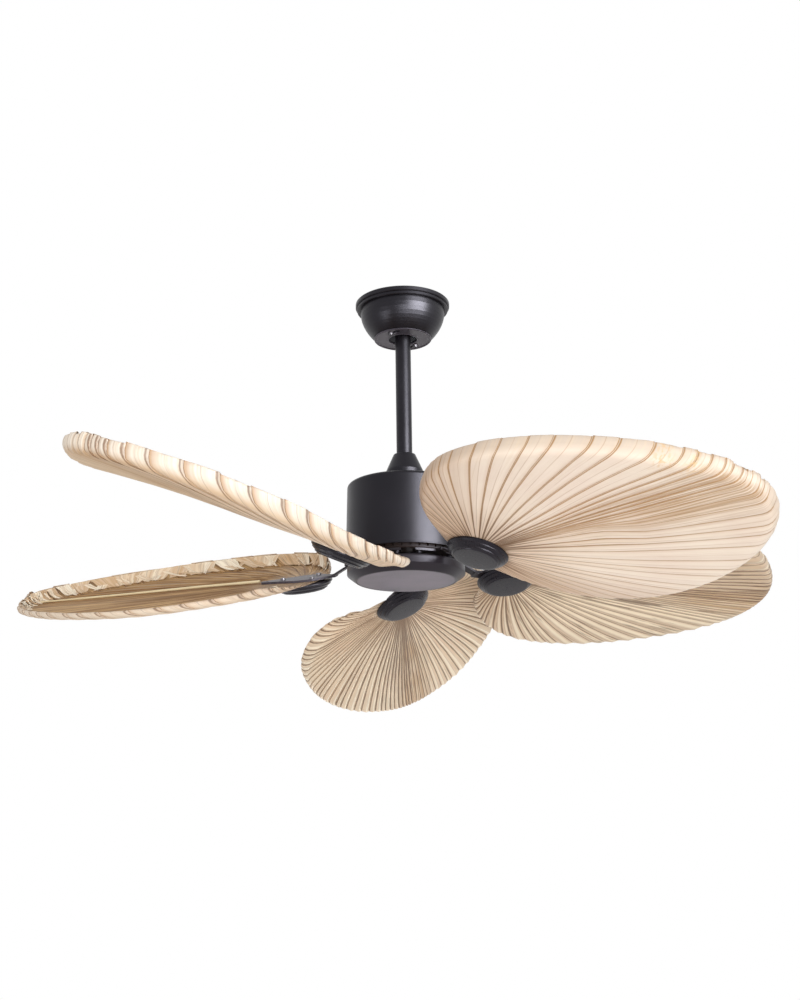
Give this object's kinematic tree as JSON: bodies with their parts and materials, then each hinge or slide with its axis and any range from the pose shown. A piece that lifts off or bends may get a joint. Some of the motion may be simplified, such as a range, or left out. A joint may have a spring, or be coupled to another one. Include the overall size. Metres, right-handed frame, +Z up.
{
  "type": "ceiling fan",
  "caption": "Downrod ceiling fan with a drum motor housing, bowl canopy and pleated palm-leaf blades on bent metal arms with round clamp plates.",
  "frame": {"origin": "centre of the ceiling bracket's top face, in the ceiling plane, on the fan's axis", "axes": "+Z up along the downrod and the rotor's axis; the two ceiling slots lie along X; +Y points away from the picture's viewer"},
  "size_m": [1.077, 1.0692, 0.5043],
  "materials": {
    "black_metal": "satin near-black paint",
    "grey_cover": "satin grey paint",
    "brown_metal": "matt brown-black paint",
    "arm_metal": "satin dark grey paint",
    "medallion_metal": "satin near-black paint on a cast plate",
    "zinc_steel": "zinc plated",
    "steel": "bright",
    "dark_steel": "blackened",
    "green_steel": "green",
    "core_steel": "varnished laminations",
    "cast_aluminium": "as cast",
    "copper": "enamelled copper",
    "white_plastic": "natural nylon",
    "black_plastic": "moulded",
    "board": "circuit board",
    "palm_leaf": "dried natural palm leaf",
    "palm_stick": "natural stick"
  },
  "bodies": {
    "ceiling_mount": {"hanger_bracket": "zinc_steel", "canopy": "black_metal", "canopy_cover": "grey_cover", "canopy_screws": "steel", "terminal_block": "white_plastic", "ground_screw": "green_steel"},
    "ball_seat": {"ball_liner": "white_plastic"},
    "stem": {"hanger_ball": "black_plastic", "ball_pin": "steel", "ball_set_screw": "dark_steel", "downrod": "black_metal", "motor_coupler": "zinc_steel", "coupler_pin": "steel", "coupler_clip": "steel", "coupler_set_screws": "dark_steel", "motor_housing": "black_metal", "housing_screws": "dark_steel", "stator_shaft": "steel", "stator_core": "core_steel", "stator_windings": "copper", "switch_housing": "black_metal", "shaft_nut": "steel", "capacitor": "black_plastic", "control_board": "board", "bottom_cover": "grey_cover"},
    "coupling_cover": {"coupling_cover": "black_metal"},
    "rotor": {"upper_bearing": "steel", "lower_bearing": "steel", "rotor_upper_bell": "cast_aluminium", "rotor_ring": "core_steel", "rotor_lower_bell": "cast_aluminium", "rotor_bolts": "steel", "flywheel": "brown_metal", "flywheel_screws": "dark_steel", "arm_screws": "dark_steel", "blade_screws": "dark_steel", "blade_arm_1": "arm_metal", "blade_arm_2": "arm_metal", "blade_arm_3": "arm_metal", "blade_arm_4": "arm_metal", "blade_arm_5": "arm_metal", "medallion_1": "medallion_metal", "medallion_2": "medallion_metal", "medallion_3": "medallion_metal", "medallion_4": "medallion_metal", "medallion_5": "medallion_metal", "leaf_1": "palm_leaf", "leaf_2": "palm_leaf", "leaf_3": "palm_leaf", "leaf_4": "palm_leaf", "leaf_5": "palm_leaf", "leaf_stick_1": "palm_stick", "leaf_stick_2": "palm_stick", "leaf_stick_3": "palm_stick", "leaf_stick_4": "palm_stick", "leaf_stick_5": "palm_stick"}
  },
  "joints": [
    {"name": "ball_swing_x", "type": "hinge", "parent": "ceiling_mount", "child": "ball_seat", "pos_m": [0, 0, -0.026], "axis": [1, 0, 0], "range_deg": [-8, 8]},
    {"name": "ball_swing_y", "type": "hinge", "parent": "ball_seat", "child": "stem", "pos_m": [0, 0, -0.026], "axis": [0, 1, 0], "range_deg": [-8, 8]},
    {"name": "rotor_spin", "type": "hinge", "parent": "stem", "child": "rotor", "pos_m": [0, 0, -0.36], "axis": [0, 0, 1], "continuous": true},
    {"name": "coupling_cover_lift", "type": "slide", "parent": "stem", "child": "coupling_cover", "axis": [0, 0, 1], "range_m": [0, 0.12]}
  ]
}
